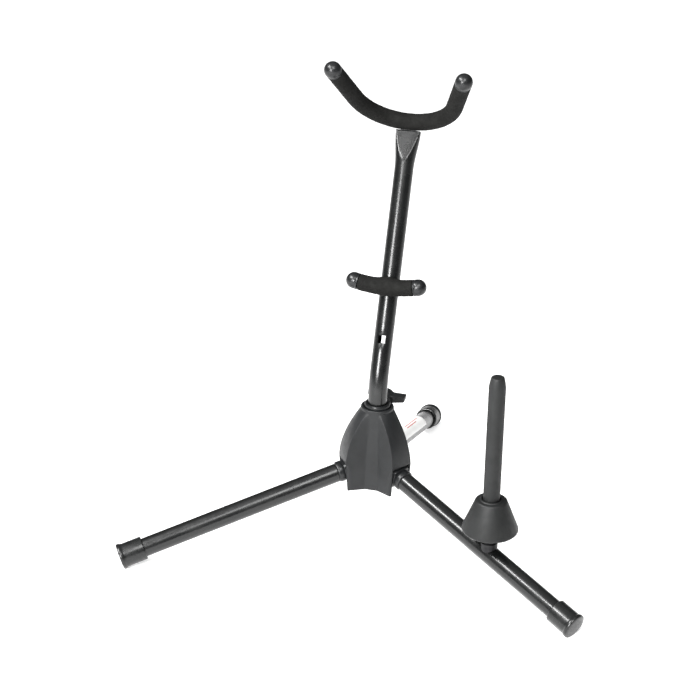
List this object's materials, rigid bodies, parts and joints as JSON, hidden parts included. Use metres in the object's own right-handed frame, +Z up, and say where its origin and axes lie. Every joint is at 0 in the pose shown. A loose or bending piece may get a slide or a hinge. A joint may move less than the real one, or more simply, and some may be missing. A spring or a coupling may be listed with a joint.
{
  "type": "saxophone stand",
  "caption": "Folding tripod stand that holds an upright saxophone in two padded yokes on a leaning post, with a screw-on peg for a small wind instrument.",
  "frame": {"origin": "on the floor, at the middle of the stand's outer box", "axes": "+Z up; +Y towards the rear leg, so the yokes face -Y; +X to the right seen from the front, the side with the peg"},
  "size_m": [0.472, 0.4114, 0.4866],
  "materials": {
    "black_nylon": "matt moulded, fine grain",
    "gloss_black_plastic": "gloss",
    "dark_grey_plastic": "matt moulded",
    "black_painted_steel": "satin to gloss black enamel",
    "black_steel_rod": "black finish",
    "zinc_steel": "zinc plated",
    "black_foam": "matt cellular rubber sleeve",
    "black_rubber": "satin moulded",
    "white_label": "plain, unprinted"
  },
  "bodies": {
    "hub": {"hub_shell": "black_nylon", "hub_base_plate": "black_nylon", "base_plate_screw_1": "zinc_steel", "base_plate_screw_2": "zinc_steel", "base_plate_screw_3": "zinc_steel", "leg_pin_left": "zinc_steel", "leg_pin_right": "zinc_steel", "leg_pin_rear": "zinc_steel", "clamp_nut": "zinc_steel"},
    "clamp": {"clamp_screw": "zinc_steel", "clamp_knob": "black_nylon"},
    "bush": {"post_bush": "gloss_black_plastic"},
    "post": {"post_tube": "black_painted_steel", "upper_yoke_rod": "black_steel_rod", "upper_yoke_sleeve": "black_foam", "upper_yoke_cap_left": "gloss_black_plastic", "upper_yoke_cap_right": "gloss_black_plastic"},
    "lower_yoke": {"lower_yoke_rod": "black_steel_rod", "lower_yoke_sleeve": "black_foam", "lower_yoke_cap_left": "gloss_black_plastic", "lower_yoke_cap_right": "gloss_black_plastic"},
    "leg_left": {"leg_tube_left": "black_painted_steel", "leg_knuckle_left": "gloss_black_plastic", "foot_cap_left": "black_rubber"},
    "leg_right": {"leg_tube_right": "black_painted_steel", "leg_knuckle_right": "gloss_black_plastic", "foot_cap_right": "black_rubber", "peg_saddle": "black_steel_rod", "peg_stud": "zinc_steel", "peg_nut": "black_steel_rod"},
    "leg_rear": {"leg_tube_rear": "black_painted_steel", "leg_knuckle_rear": "gloss_black_plastic", "foot_cap_rear": "black_rubber", "leg_label": "white_label"},
    "peg": {"peg_cone": "dark_grey_plastic", "peg_rod": "dark_grey_plastic"}
  },
  "joints": [
    {"name": "leg_fold_left", "type": "hinge", "parent": "hub", "child": "leg_left", "pos_m": [-0.02113, -0.0746, 0.0845], "axis": [0.5, -0.866, 0], "range_deg": [0, 73]},
    {"name": "leg_fold_right", "type": "hinge", "parent": "hub", "child": "leg_right", "pos_m": [0.02113, -0.0746, 0.0845], "axis": [0.5, 0.866, 0], "range_deg": [0, 73]},
    {"name": "leg_fold_rear", "type": "hinge", "parent": "hub", "child": "leg_rear", "pos_m": [0, -0.038, 0.0845], "axis": [-1, 0, 0], "range_deg": [0, 73]},
    {"name": "post_swivel", "type": "hinge", "parent": "hub", "child": "bush", "pos_m": [0, -0.0624, 0.13], "axis": [0, 0, 1], "continuous": true},
    {"name": "post_lift", "type": "slide", "parent": "bush", "child": "post", "axis": [0, 0, 1], "range_m": [0, 0.045]},
    {"name": "lower_yoke_pull", "type": "slide", "parent": "post", "child": "lower_yoke", "axis": [0, -0.9135, 0.4067], "range_m": [0, 0.035]},
    {"name": "clamp_turn", "type": "hinge", "parent": "hub", "child": "clamp", "pos_m": [0, -0.035, 0.144], "axis": [0, 1, 0], "continuous": true},
    {"name": "peg_unscrew", "type": "hinge", "parent": "leg_right", "child": "peg", "pos_m": [0.13345, -0.13945, 0.09], "axis": [0, 0, 1], "continuous": true}
  ]
}
